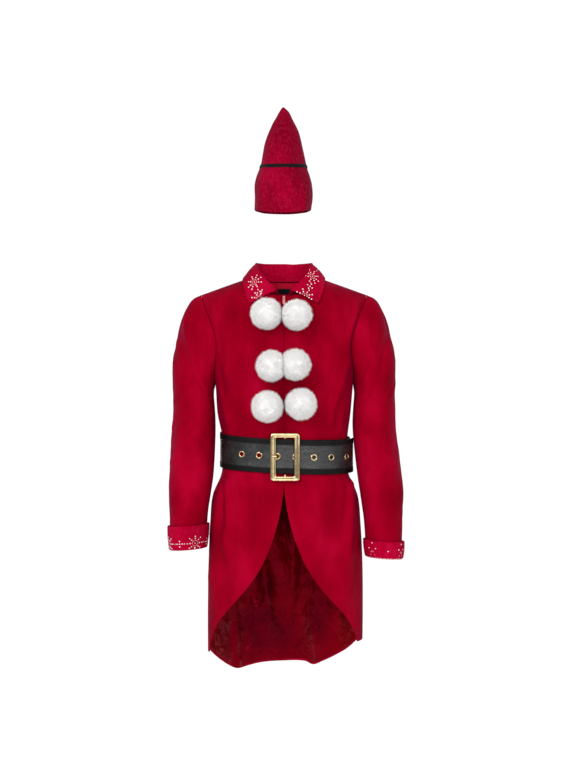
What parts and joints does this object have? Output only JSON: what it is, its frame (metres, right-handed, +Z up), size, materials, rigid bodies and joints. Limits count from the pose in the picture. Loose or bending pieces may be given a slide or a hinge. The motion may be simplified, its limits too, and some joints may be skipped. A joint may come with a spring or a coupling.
{
  "type": "elf costume, tail coat with belt and pointed hat",
  "caption": "Worn-form velvet tail coat with pompoms, snow-dotted collar and cuffs, wide belt with a gold buckle, and a pointed hat held above it.",
  "frame": {"origin": "between the shoulders at the base of the neck, where the wearer carries the coat", "axes": "+Z up, -Y is the coat's front, +X is the wearer's left"},
  "size_m": [0.5858, 0.3049, 1.4202],
  "materials": {
    "velvet": "short pile velvet",
    "printed_velvet": "short pile velvet printed with white dots",
    "satin": "shiny satin",
    "fur": "fluffy pile",
    "label": "woven, bare",
    "bead": "glossy",
    "zip_tape": "woven tape",
    "zip_metal": "polished",
    "leather": "coated, semi-gloss, with matt bindings",
    "gold": "polished",
    "band": "woven band"
  },
  "bodies": {
    "garment": {"front_right": "velvet", "front_left": "velvet", "back": "velvet", "lining_back": "satin", "lining_front_right": "satin", "lining_front_left": "satin", "sleeve_right": "velvet", "sleeve_left": "velvet", "cuff_right": "printed_velvet", "cuff_left": "printed_velvet", "collar": "printed_velvet", "neck_label": "label", "zip_tape": "zip_tape", "zip_slider": "zip_metal", "pompom_top_right": "fur", "pompom_top_left": "fur", "pompom_middle_right": "fur", "pompom_middle_left": "fur", "pompom_bottom_right": "fur", "pompom_bottom_left": "fur", "front_bead": "bead", "belt_strap": "leather", "eyelet_1": "gold", "eyelet_2": "gold", "eyelet_3": "gold", "eyelet_4": "gold", "eyelet_5": "gold", "eyelet_6": "gold", "eyelet_7": "gold", "buckle_frame": "gold", "buckle_prong": "gold", "hat_front": "velvet", "hat_back": "velvet", "hat_band": "band"},
    "pull_tab": {"zip_pull": "zip_metal"}
  },
  "joints": [
    {"name": "pull_swing", "type": "hinge", "parent": "garment", "child": "pull_tab", "pos_m": [0, -0.0915, -0.04655], "axis": [-1, 0, 0], "range_deg": [0, 165]}
  ]
}
